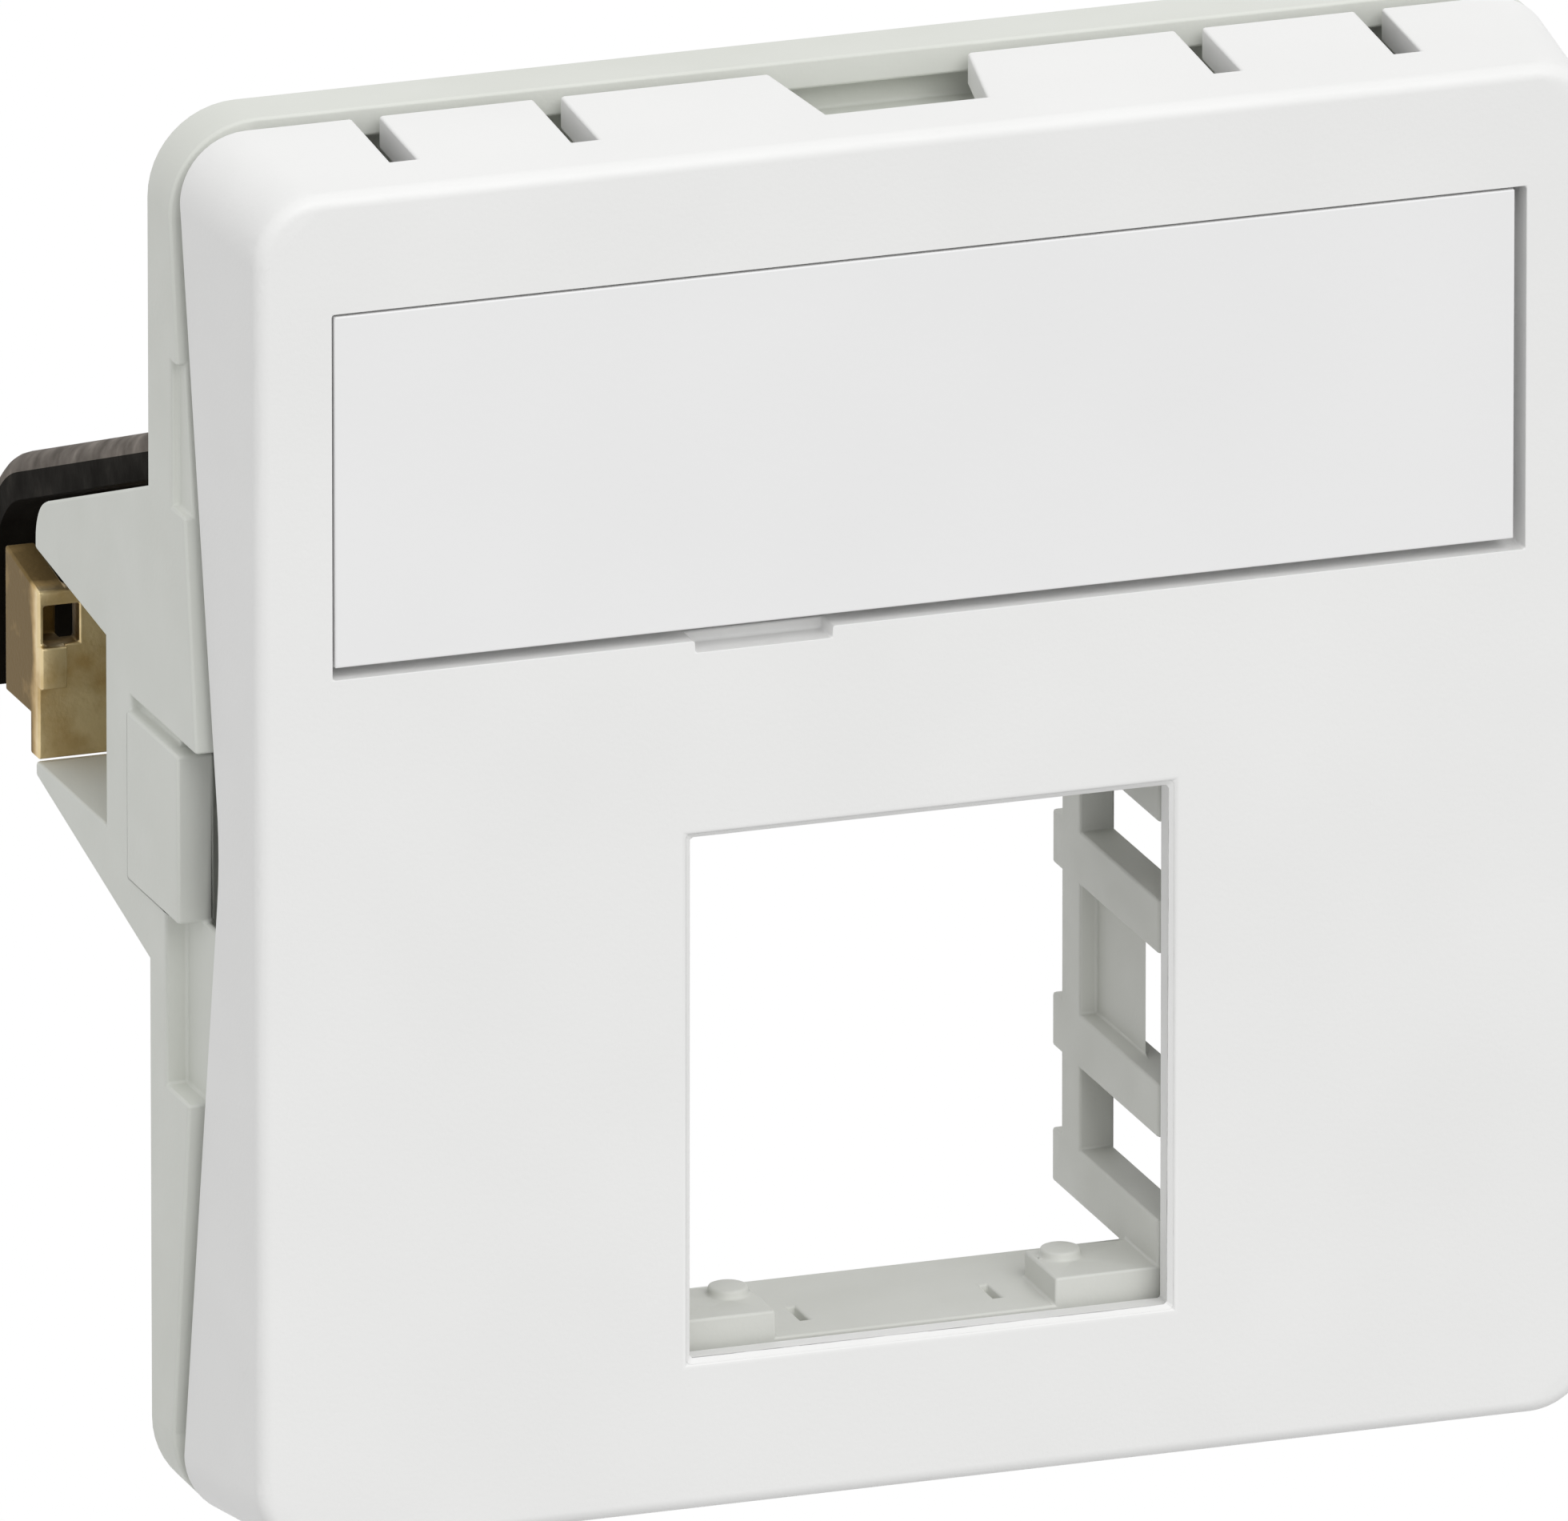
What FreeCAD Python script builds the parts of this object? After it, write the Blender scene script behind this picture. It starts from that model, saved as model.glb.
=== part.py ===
import FreeCAD, Part
import os
import Sketcher

# Wall plate: a square data outlet insert that is drawn against its seat by two screw claws.
# Frame: +Z up, the front faces -Y, and the origin is the base's centre on its rear face.
# Heights in the XZ sketches count from that rear face towards the front, depths in the YZ sketches
# count from it towards the back. Millimetres throughout.

SIZES = {
    # Base frame
    "module_size": 46.4,
    "plate_corner": 2.9,
    "plate_thick": 2.2,
    "rim_wall": 1.0,
    "floor_thick": 1.2,
    "opening_side_margin": 3.0,
    "opening_end_margin": 1.9,
    "stiffener_wall": 1.2,
    "stiffener_depth": 2.5,
    "upstand_width": 30.0,
    "upstand_wall": 0.7,
    "upstand_height": 4.2,
    # Raised side edges, edge notches and side tabs of the base frame
    "crown_height": 2.85,
    "crown_span": 40.4,
    "crown_round": 12.0,
    "upper_notch_length": 4.8,
    "upper_notch_centre": 13.1,
    "upper_notch_inset": 0.3,
    "upper_notch_lip": 2.3,
    "lower_notch_length": 5.85,
    "lower_notch_inset": 0.75,
    "lower_notch_lip": 1.6,
    "tab_bottom": -2.9,
    "tab_height": 5.6,
    "tab_rise": 1.05,
    "tab_back": 1.75,
    "tab_wall": 1.1,
    "tab_proud": 0.15,
    "tab_groove_height": 0.45,
    "tab_groove_depth": 0.35,
    # Claw brackets of the base frame
    "bracket_length": 11.1,
    "bracket_width": 9.6,
    "bracket_wall": 1.5,
    "bracket_top_wall": 1.5,
    "bracket_tip_round": 1.6,
    "bracket_root_bottom": -5.05,
    "bracket_tip_bottom": -2.4,
    "pocket_start": 4.2,
    "pocket_head_room": 0.6,
    "pocket_flare": 0.8,
    "shelf_height": -1.9,
    # Front cover
    "cover_inset": 0.2,
    "seat_gap": 0.5,
    "cover_depth": 5.9,
    "cover_draft": 0.5,
    "cover_wall": 1.1,
    "cover_corner": 2.2,
    "cover_edge_round": 0.5,
    "finger_slot_width": 0.9,
    "finger_slot_length": 3.6,
    "inner_slot_place": 10.75,
    "outer_slot_place": 16.8,
    "pry_notch_back": 6.65,
    "pry_notch_front": 5.4,
    "pry_notch_length": 3.55,
    # Connector window of the cover
    "window_width": 16.2,
    "window_height": 17.5,
    "window_bottom_margin": 5.0,
    "window_edge_round": 0.25,
    # Label plate and its recess
    "label_side_margin": 2.75,
    "label_top_margin": 4.15,
    "label_height": 11.6,
    "label_thick": 1.1,
    "label_gap": 0.24,
    "label_shift": 0.16,
    "label_seat_gap": 0.15,
    "label_floor": 1.0,
    "label_frame_wall": 1.2,
    "label_edge_round": 0.06,
    "lift_notch_width": 4.6,
    "lift_notch_height": 0.4,
    "lift_notch_place": -5.6,
    "peg_inset": 4.1,
    "peg_diameter": 2.0,
    "peg_length": 1.6,
    # Connector carrier
    "carrier_reveal": 0.05,
    "carrier_gap": 0.3,
    "ladder_wall": 1.2,
    "rib_back": 2.7,
    "post_start": 0.15,
    "post_depth": 1.7,
    "rib_height": 1.8,
    "upper_rib_drop": 5.25,
    "middle_rib_drop": 11.4,
    "lower_rib_drop": 15.95,
    "top_rib_drop": 1.75,
    "latch_wall": 0.6,
    "latch_start": -4.4,
    "latch_slant": 1.8,
    "bridge_wall": 1.2,
    "bridge_rise": 0.55,
    "ledge_wall": 1.2,
    "ledge_cheek_back": -3.5,
    "ledge_slit_place": 3.25,
    "ledge_slit_width": 0.3,
    "ledge_slit_length": 1.4,
    "ledge_slit_depth": 0.5,
    "ledge_slit_margin": 1.35,
    "flange_thick": 0.9,
    "flange_lap": 0.6,
    "hook_reach": 0.5,
    "hook_depth": 0.55,
    "hook_seat": 0.6,
    "hook_gap": 0.2,
    "lug_width": 3.45,
    "lug_length": 2.95,
    "lug_height": 0.9,
    "lug_nub_diameter": 1.3,
    "lug_nub_height": 0.3,
    "lug_nub_inset": 0.25,
    # Claw screw
    "screw_inset": 5.6,
    "screw_height": 1.7,
    "screw_diameter": 3.0,
    "screw_fit": 0.08,
    "head_diameter": 5.2,
    "head_height": 1.7,
    "head_gap": 0.3,
    "head_sink": 1.6,
    "slot_width": 0.8,
    "slot_depth": 0.9,
    "tail_rim": 0.45,
    "tail_length": 0.6,
    "tail_gap": 0.3,
    # Claw nut
    "nut_plate": 0.8,
    "nut_inset": 8.8,
    "nut_top": 4.9,
    "nut_side_gap": 0.3,
    "nut_shelf_gap": 0.1,
    "nut_outer_top": 3.8,
    "ear_wall": 1.0,
    "ear_length": 3.25,
    "ear_bottom": -0.45,
    "ear_back_top": 4.4,
    "nut_boss_diameter": 5.4,
    "nut_boss_length": 3.65,
    "nut_pad_width": 0.9,
    "nut_pad_bottom": 0.6,
    "nut_pad_top": 2.0,
    "nut_pad_height": 0.3,
    "nut_recess_width": 1.2,
    "nut_recess_skin": 0.2,
    "nut_recess_top": 3.3,
    "nut_recess_depth": 1.2,
    # Claw bow
    "bow_width": 2.4,
    "bow_thick": 1.5,
    "bow_gap": 0.25,
    "bow_slope": 0.36,
    "bow_leg_gap": 3.4,
    "bow_bend": 4.0,
    "bow_foot_bend": 0.6,
    "bow_foot_length": 4.6,
    "bow_foot_sink": 0.5,
    "bow_slot_gap": 0.15,
    "bow_leg_bottom": -1.85,
    "bow_flag_width": 5.4,
    "bow_flag_height": 6.2,
}

doc = FreeCAD.newDocument("wall_plate")
dims = doc.addObject("Spreadsheet::Sheet", "dims")
for row, (alias, size) in enumerate(SIZES.items(), start=1):
    dims.set(f"A{row}", alias)
    dims.set(f"B{row}", str(size))
    dims.setAlias(f"B{row}", alias)
doc.recompute()

# Places that several pieces share, as expressions on the sheet
HALF = "dims.module_size / 2"
FLOOR = "dims.floor_thick"
CROWN_TOP = "(dims.plate_thick + dims.crown_height)"
TAB_TOP = "(dims.tab_bottom + dims.tab_height)"
COVER_BACK = "(dims.plate_thick + dims.seat_gap)"
COVER_FRONT = "(dims.plate_thick + dims.seat_gap + dims.cover_depth)"
COVER_BACK_HALF = "(dims.module_size / 2 - dims.cover_inset)"
COVER_FRONT_HALF = "(dims.module_size / 2 - dims.cover_inset - dims.cover_draft)"
WINDOW_BOTTOM = f"(dims.window_bottom_margin - {COVER_FRONT_HALF})"
WINDOW_TOP = f"({WINDOW_BOTTOM} + dims.window_height)"
LABEL_HALF = f"({COVER_FRONT_HALF} - dims.label_side_margin)"
LABEL_TOP = f"({COVER_FRONT_HALF} - dims.label_top_margin)"
LABEL_BOTTOM = f"({LABEL_TOP} - dims.label_height)"
PEG_PLACE = (f"({LABEL_HALF} - dims.peg_inset)", f"({LABEL_TOP} - dims.label_height / 2)")
CARRIER_INNER = "(dims.window_width / 2 + dims.carrier_reveal)"
CARRIER_OUTER = "(dims.window_width / 2 + dims.carrier_reveal + dims.ladder_wall)"
HOOK_HALF = f"({CARRIER_INNER} / 2)"
OPENING_HALF = f"({CARRIER_OUTER} + dims.opening_side_margin)"
OPENING_TOP = f"({WINDOW_TOP} + dims.opening_end_margin)"
OPENING_BOTTOM = f"({WINDOW_BOTTOM} - dims.opening_end_margin)"
SCREW_PLACE = "(dims.module_size / 2 - dims.screw_inset)"
NUT_REST = "(dims.bracket_length - dims.nut_side_gap)"
NUT_BOTTOM = "(dims.shelf_height + dims.nut_shelf_gap)"
POCKET_FRONT_TOP = "(dims.nut_outer_top + dims.pocket_head_room)"
POCKET_BACK_TOP = f"({POCKET_FRONT_TOP} + dims.pocket_flare)"
BRACKET_INNER = "(dims.module_size / 2 - dims.bracket_width)"
BRACKET_TIP_TOP = f"({POCKET_BACK_TOP} + dims.bracket_top_wall)"
BRACKET_ROOT_TOP = f"({BRACKET_TIP_TOP} + dims.bow_slope * dims.bracket_length)"
BOW_OUTER = "(dims.module_size / 2 - dims.rim_wall - dims.bow_slot_gap)"
BOW_INNER = f"({BOW_OUTER} - dims.bow_width)"
BOW_RISE = "(dims.bow_thick * sqrt(1 + dims.bow_slope ^ 2))"
BOW_FOOT_BACK = "(dims.bow_foot_sink - dims.floor_thick)"
LEG_FRONT = f"({NUT_REST} + dims.nut_plate + dims.nut_boss_length + dims.bow_leg_gap)"
LEG_BACK = f"({LEG_FRONT} + dims.bow_thick)"


def number(expression):
    """The present value of an expression on the sheet."""
    return float(dims.evalExpression(expression))


def cover_inner_half(height):
    """Half the cover's inside width at a height over the seat."""
    slope = "dims.cover_draft / dims.cover_depth"
    return f"({COVER_FRONT_HALF} + ({COVER_FRONT} - ({height})) * {slope} - dims.cover_wall)"


def new_body(label):
    body = doc.addObject("PartDesign::Body", label)
    body.Label = label
    return body


def origin_plane(body, role):
    return next(item for item in body.Origin.OriginFeatures if item.Role == role)


def new_sketch(body, name, role, offset):
    sketch = body.newObject("Sketcher::SketchObject", name)
    sketch.AttachmentSupport = (origin_plane(body, role), [""])
    sketch.MapMode = "FlatFace"
    sketch.setExpression("AttachmentOffset.Base.z", offset)
    return sketch


def pin_point(sketch, geometry, end, place):
    """Hold a point of the sketch at a pair of expressions."""
    for kind, expression in zip(("DistanceX", "DistanceY"), place):
        rule = Sketcher.Constraint(kind, -1, 1, geometry, end, number(expression))
        row = sketch.addConstraint(rule)
        sketch.setExpression(f"Constraints[{row}]", expression)


def outline(body, name, role, offset, places):
    """A closed sketch of straight lines through the given places."""
    sketch = new_sketch(body, name, role, offset)
    corners = [FreeCAD.Vector(number(across), number(up), 0) for across, up in places]
    following = corners[1:] + corners[:1]
    for start, end in zip(corners, following):
        sketch.addGeometry(Part.LineSegment(start, end))
    for line in range(len(corners)):
        sketch.addConstraint(Sketcher.Constraint("Coincident", line, 2, (line + 1) % len(corners), 1))
    for line, place in enumerate(places):
        pin_point(sketch, line, 1, place)
    return sketch


def rectangle(body, name, role, offset, left, right, bottom, top):
    places = [(left, bottom), (right, bottom), (right, top), (left, top)]
    return outline(body, name, role, offset, places)


def circle(body, name, role, offset, place, diameter):
    sketch = new_sketch(body, name, role, offset)
    centre = FreeCAD.Vector(number(place[0]), number(place[1]), 0)
    sketch.addGeometry(Part.Circle(centre, FreeCAD.Vector(0, 0, 1), number(diameter) / 2))
    pin_point(sketch, 0, 3, place)
    row = sketch.addConstraint(Sketcher.Constraint("Diameter", 0, number(diameter)))
    sketch.setExpression(f"Constraints[{row}]", diameter)
    return sketch


def sketch_feature(kind, body, sketch, length, backwards):
    feature = body.newObject(kind, sketch.Name + kind.split("::")[1])
    feature.Profile = sketch
    feature.Reversed = backwards
    feature.setExpression("Length", length)
    return feature


def pad(body, sketch, length, backwards=False):
    return sketch_feature("PartDesign::Pad", body, sketch, length, backwards)


def pocket(body, sketch, length):
    """Cut against the sketch's normal: towards the back, the left or the bottom."""
    doc.recompute()
    before = body.Shape.Volume
    feature = sketch_feature("PartDesign::Pocket", body, sketch, length, False)
    doc.recompute()
    if feature.Shape.Volume >= before:
        raise RuntimeError(f"{feature.Name} cuts nothing")
    return feature


def loft(kind, body, name, sections):
    feature = body.newObject(kind, name)
    feature.Profile = sections[0]
    feature.Sections = sections[1:]
    return feature


def fillet(body, name, feature, wanted, radius):
    """Round the edges of the feature that the test picks."""
    doc.recompute()
    edges = enumerate(feature.Shape.Edges, start=1)
    names = [f"Edge{count}" for count, edge in edges if wanted(edge)]
    rounding = body.newObject("PartDesign::Fillet", name)
    rounding.Base = (feature, names)
    rounding.setExpression("Radius", radius)
    return rounding


def mirrored(body, name, features, role):
    feature = body.newObject("PartDesign::Mirrored", name)
    feature.Originals = features
    feature.MirrorPlane = (origin_plane(body, role), [""])
    body.Tip = feature
    return feature


def ends(edge):
    return [vertex.Point for vertex in edge.Vertexes]


def near(first, second):
    return abs(first - second) < 1e-4


def at_square_corner(half):
    """Picks edges that run front to back at the corners of a square, near a half width."""
    def wanted(edge):
        points = ends(edge)
        runs_back = not near(points[0].y, points[-1].y)
        on_corner = all(near(abs(point.x), abs(point.z)) for point in points)
        return runs_back and on_corner and any(near(abs(point.x), half) for point in points)
    return wanted


def along_x_at(place):
    """Picks edges that run across the part through a place in the YZ plane."""
    def wanted(edge):
        return all(near(point.y, place.y) and near(point.z, place.z) for point in ends(edge))
    return wanted


def arm_bottom(depth):
    """Height of the bow arm's lower face at a depth behind the seat."""
    return f"({BRACKET_ROOT_TOP} + dims.bow_gap - dims.bow_slope * {depth})"


def arm_top(depth):
    return f"({arm_bottom(depth)} + {BOW_RISE})"


def mould_base_frame():
    body = new_body("base_frame")
    sheet = rectangle(body, "Plate", "XZ_Plane", "0", f"-({HALF})", HALF, f"-({HALF})", HALF)
    pad(body, sheet, "dims.plate_thick")

    # The floor lies below a rim that carries the cover's rear edge
    inside = f"({HALF} - dims.rim_wall)"
    sheet = rectangle(body, "Recess", "XZ_Plane", "dims.plate_thick",
                      f"-{inside}", inside, f"-{inside}", inside)
    recess = pocket(body, sheet, "dims.plate_thick - dims.floor_thick")
    rim_corner = "dims.plate_corner - dims.rim_wall"
    rim = fillet(body, "RimCorners", recess, at_square_corner(number(inside)), rim_corner)
    fillet(body, "PlateCorners", rim, at_square_corner(number(HALF)), "dims.plate_corner")

    left = f"-{OPENING_HALF}"
    sheet = rectangle(body, "Opening", "XZ_Plane", FLOOR, left, OPENING_HALF, OPENING_BOTTOM, OPENING_TOP)
    pocket(body, sheet, FLOOR)
    seat_half = f"({HOOK_HALF} + dims.hook_gap)"
    seat_reach = "(dims.hook_reach + dims.hook_gap)"
    seats = (("Top", OPENING_TOP, f"{OPENING_TOP} + {seat_reach}"),
             ("Bottom", f"{OPENING_BOTTOM} - {seat_reach}", OPENING_BOTTOM))
    for name, low, high in seats:
        sheet = rectangle(body, name + "HookSeat", "XZ_Plane", "dims.hook_seat",
                          f"-{seat_half}", seat_half, low, high)
        pocket(body, sheet, "dims.hook_seat")

    # Low walls inside the cover's top and bottom keep it in line
    upstand_top = "(dims.floor_thick + dims.upstand_height)"
    outer = f"({cover_inner_half(upstand_top)} - dims.seat_gap)"
    reach = "dims.upstand_width / 2"
    inner = f"({outer} - dims.upstand_wall)"
    sheet = rectangle(body, "Upstand", "XZ_Plane", FLOOR, f"-{reach}", reach, inner, outer)
    upstand = pad(body, sheet, "dims.upstand_height")
    mirrored(body, "LowerUpstand", [upstand], "XY_Plane")

    right_side = mould_claw_bracket(body) + shape_side_edge(body)
    sheet = rectangle(body, "Stiffener", "XZ_Plane", "0", OPENING_HALF,
                      f"({OPENING_HALF} + dims.stiffener_wall)", OPENING_BOTTOM, OPENING_TOP)
    right_side.append(pad(body, sheet, "dims.stiffener_depth", backwards=True))
    both_sides = mirrored(body, "LeftSide", right_side, "YZ_Plane")
    tip = FreeCAD.Vector(0, number("dims.bracket_length"), number(BRACKET_TIP_TOP))
    fillet(body, "BracketTips", both_sides, along_x_at(tip), "dims.bracket_tip_round")
    return body


def mould_claw_bracket(body):
    """The bracket behind the right edge, with the pocket in which the claw nut runs."""
    back = "dims.bracket_length"
    places = [("0", "dims.bracket_root_bottom"), (back, "dims.bracket_tip_bottom"),
              (back, BRACKET_TIP_TOP), ("0", BRACKET_ROOT_TOP)]
    sheet = outline(body, "Bracket", "YZ_Plane", BRACKET_INNER, places)
    bracket = pad(body, sheet, "dims.bracket_width")

    # Behind the screw's block only the outer wall and a shelf are left
    side_wall = f"({HALF} - dims.bracket_wall)"
    sheet = rectangle(body, "NutRoom", "YZ_Plane", side_wall, "dims.pocket_start", f"{back} + 1",
                      "dims.shelf_height", BRACKET_ROOT_TOP)
    nut_room = pocket(body, sheet, "dims.bracket_width - dims.bracket_wall")
    places = [("dims.pocket_start", "dims.shelf_height"), (f"{back} + 1", "dims.shelf_height"),
              (f"{back} + 1", POCKET_BACK_TOP), (back, POCKET_BACK_TOP),
              ("dims.pocket_start", POCKET_FRONT_TOP)]
    sheet = outline(body, "NutPocket", "YZ_Plane", f"{HALF} + 1", places)
    nut_pocket = pocket(body, sheet, "dims.bracket_wall + 1")

    # The screw passes the block, with its head sunk below the floor
    place = (SCREW_PLACE, "dims.screw_height")
    bore = "dims.screw_diameter + 2 * dims.screw_fit"
    screw_hole = pocket(body, circle(body, "ScrewHole", "XZ_Plane", FLOOR, place, bore),
                        "dims.floor_thick + dims.pocket_start")
    sink = "dims.head_diameter + 2 * dims.head_gap"
    head_sink = pocket(body, circle(body, "HeadSink", "XZ_Plane", FLOOR, place, sink), "dims.head_sink")

    # The bow's strap passes a slot in the floor, and its foot lies in a shallow seat below the slot
    slot_left = f"({BOW_INNER} - dims.bow_slot_gap)"
    slot_right = f"{HALF} - dims.rim_wall"
    bend_reach = "dims.bow_foot_bend * (dims.bow_slope + sqrt(1 + dims.bow_slope ^ 2))"
    slot_bottom = f"{arm_bottom(BOW_FOOT_BACK)} - {bend_reach} - dims.bow_slot_gap"
    slot_top = f"{arm_top('-dims.floor_thick')} + dims.bow_slot_gap"
    sheet = rectangle(body, "BowSlot", "XZ_Plane", FLOOR, slot_left, slot_right, slot_bottom, slot_top)
    bow_slot = pocket(body, sheet, FLOOR)
    foot_end = f"{slot_top} - dims.bow_foot_length - 2 * dims.bow_slot_gap"
    sheet = rectangle(body, "FootSeat", "XZ_Plane", FLOOR, slot_left, slot_right, foot_end, slot_top)
    foot_seat = pocket(body, sheet, "dims.bow_foot_sink")
    return [bracket, nut_room, nut_pocket, screw_hole, head_sink, bow_slot, foot_seat]


def shape_side_edge(body):
    """The raised edge that fills the cover's side gap, its two notches, and the tab in its middle."""
    reach = "dims.crown_span / 2"
    places = [("-dims.plate_thick", f"-{reach}"), ("-dims.plate_thick", reach), (f"-{CROWN_TOP}", "0")]
    sheet = outline(body, "SideCrown", "YZ_Plane", f"{HALF} - dims.rim_wall", places)
    features = [pad(body, sheet, "dims.rim_wall")]

    groove_top = f"({TAB_TOP} + dims.tab_groove_height)"
    sheet = rectangle(body, "TabRoom", "XZ_Plane", CROWN_TOP, f"{HALF} - dims.rim_wall", f"{HALF} + 1",
                      "dims.tab_bottom", groove_top)
    features.append(pocket(body, sheet, "dims.crown_height"))
    upper_low = "dims.upper_notch_centre - dims.upper_notch_length / 2"
    upper_high = "dims.upper_notch_centre + dims.upper_notch_length / 2"
    notches = (("upper", upper_low, upper_high),
               ("lower", "dims.tab_bottom - dims.lower_notch_length", "dims.tab_bottom"))
    for name, low, high in notches:
        sheet = rectangle(body, name.title() + "Notch", "XZ_Plane", CROWN_TOP,
                          f"{HALF} - dims.{name}_notch_inset", f"{HALF} + 1", low, high)
        features.append(pocket(body, sheet, f"{CROWN_TOP} - dims.{name}_notch_lip"))

    sheet = rectangle(body, "SideTab", "YZ_Plane", f"{HALF} - dims.tab_wall",
                      "-(dims.plate_thick + dims.tab_rise)", "dims.tab_back", "dims.tab_bottom", TAB_TOP)
    features.append(pad(body, sheet, "dims.tab_wall + dims.tab_proud"))
    sheet = rectangle(body, "TabGroove", "YZ_Plane", f"{HALF} + 1", "-dims.plate_thick", "dims.tab_back",
                      TAB_TOP, groove_top)
    features.append(pocket(body, sheet, "1 + dims.tab_groove_depth"))
    return features


def mould_front_cover():
    body = new_body("front_cover")
    sections = []
    planes = (("Back", COVER_BACK, COVER_BACK_HALF), ("Front", COVER_FRONT, COVER_FRONT_HALF))
    for name, height, half in planes:
        sections.append(rectangle(body, name, "XZ_Plane", height, f"-{half}", half, f"-{half}", half))
    block = loft("PartDesign::AdditiveLoft", body, "Block", sections)
    corners = fillet(body, "Corners", block, at_square_corner(number(COVER_BACK_HALF)), "dims.cover_corner")
    front = -number(COVER_FRONT)
    fillet(body, "FrontEdge", corners, lambda edge: all(near(point.y, front) for point in ends(edge)),
           "dims.cover_edge_round")

    sections = []
    ceiling = f"({COVER_FRONT} - dims.cover_wall)"
    for name, height in (("InnerBack", COVER_BACK), ("InnerFront", ceiling)):
        half = cover_inner_half(height)
        sections.append(rectangle(body, name, "XZ_Plane", height, f"-{half}", half, f"-{half}", half))
    hollow = loft("PartDesign::SubtractiveLoft", body, "Hollow", sections)
    inner_back = number(cover_inner_half(COVER_BACK))
    fillet(body, "InnerCorners", hollow, at_square_corner(inner_back), "dims.cover_corner - dims.cover_wall")

    shape_label_recess(body, ceiling)
    sheet = rectangle(body, "Window", "XZ_Plane", COVER_FRONT, "-dims.window_width / 2",
                      "dims.window_width / 2", WINDOW_BOTTOM, WINDOW_TOP)
    window = pocket(body, sheet, "dims.cover_wall")
    reach = number("dims.window_width / 2")
    low = number(WINDOW_BOTTOM)
    high = number(WINDOW_TOP)

    def on_window_rim(edge):
        points = ends(edge)
        in_front = all(near(point.y, front) for point in points)
        return in_front and all(abs(point.x) < reach + 1e-4 and low - 1e-4 < point.z < high + 1e-4
                                for point in points)
    fillet(body, "WindowEdge", window, on_window_rim, "dims.window_edge_round")
    cut_cover_edges(body)
    return body


def shape_label_recess(body, ceiling):
    """A tray behind the front wall, open to the front, with two peg holes and a lifting notch."""
    reach = f"({LABEL_HALF} + dims.label_gap)"
    low = f"({LABEL_BOTTOM} - dims.label_gap)"
    high = f"({LABEL_TOP} + dims.label_gap)"
    wall = "dims.label_frame_wall"
    depth = "(dims.label_thick + dims.label_seat_gap)"
    sheet = rectangle(body, "Tray", "XZ_Plane", ceiling, f"-({reach} + {wall})", f"{reach} + {wall}",
                      f"{low} - {wall}", f"{high} + {wall}")
    pad(body, sheet, f"{depth} + dims.label_floor - dims.cover_wall", backwards=True)
    sheet = rectangle(body, "LabelRecess", "XZ_Plane", COVER_FRONT, f"-{reach}", reach, low, high)
    pocket(body, sheet, depth)
    notch_left = "dims.lift_notch_place - dims.lift_notch_width / 2"
    notch_right = "dims.lift_notch_place + dims.lift_notch_width / 2"
    sheet = rectangle(body, "LiftNotch", "XZ_Plane", COVER_FRONT, notch_left, notch_right,
                      f"{low} - dims.lift_notch_height", low)
    pocket(body, sheet, "dims.label_thick")
    hole = "dims.peg_diameter + 2 * (dims.label_gap + dims.label_shift)"
    sheet = circle(body, "PegHole", "XZ_Plane", COVER_FRONT, PEG_PLACE, hole)
    peg_hole = pocket(body, sheet, f"{depth} + dims.label_floor")
    mirrored(body, "LeftPegHole", [peg_hole], "YZ_Plane")


def cut_cover_edges(body):
    """Finger slots and pry notch in the top and bottom walls, and the gap in each side wall."""
    above = f"({COVER_BACK_HALF} + 1)"
    wall_drop = f"({above} - {cover_inner_half(COVER_FRONT)})"
    edge = f"-{COVER_BACK}"
    behind = f"-({COVER_BACK} - 1)"
    slot_front = f"-({COVER_BACK} + dims.finger_slot_length)"
    half_slot = "dims.finger_slot_width / 2"
    top_wall = []
    for name in ("inner", "outer"):
        for side, sign in (("Left", "-1"), ("Right", "1")):
            place = f"{sign} * dims.{name}_slot_place"
            sheet = rectangle(body, side + name.title() + "Slot", "XY_Plane", above,
                              f"{place} - {half_slot}", f"{place} + {half_slot}", slot_front, behind)
            top_wall.append(pocket(body, sheet, wall_drop))
    notch_front = f"-({COVER_BACK} + dims.pry_notch_length)"
    places = [("-dims.pry_notch_front / 2", notch_front), ("dims.pry_notch_front / 2", notch_front),
              ("dims.pry_notch_back / 2", edge), ("dims.pry_notch_back / 2", behind),
              ("-dims.pry_notch_back / 2", behind), ("-dims.pry_notch_back / 2", edge)]
    top_wall.append(pocket(body, outline(body, "PryNotch", "XY_Plane", above, places), wall_drop))
    mirrored(body, "LowerWall", top_wall, "XY_Plane")

    # The gap rises from both ends to a blunt peak, as the base's raised edge below it does
    reach = "dims.crown_span / 2"
    peak = f"-({COVER_BACK} + dims.crown_height)"
    places = [(edge, f"-{reach}"), (behind, f"-{reach}"), (behind, reach), (edge, reach), (peak, "0")]
    side_gap = pocket(body, outline(body, "SideGap", "YZ_Plane", above, places), wall_drop)
    both_gaps = mirrored(body, "LeftGap", [side_gap], "YZ_Plane")
    fillet(body, "GapPeaks", both_gaps, along_x_at(FreeCAD.Vector(0, number(peak), 0)), "dims.crown_round")


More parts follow.
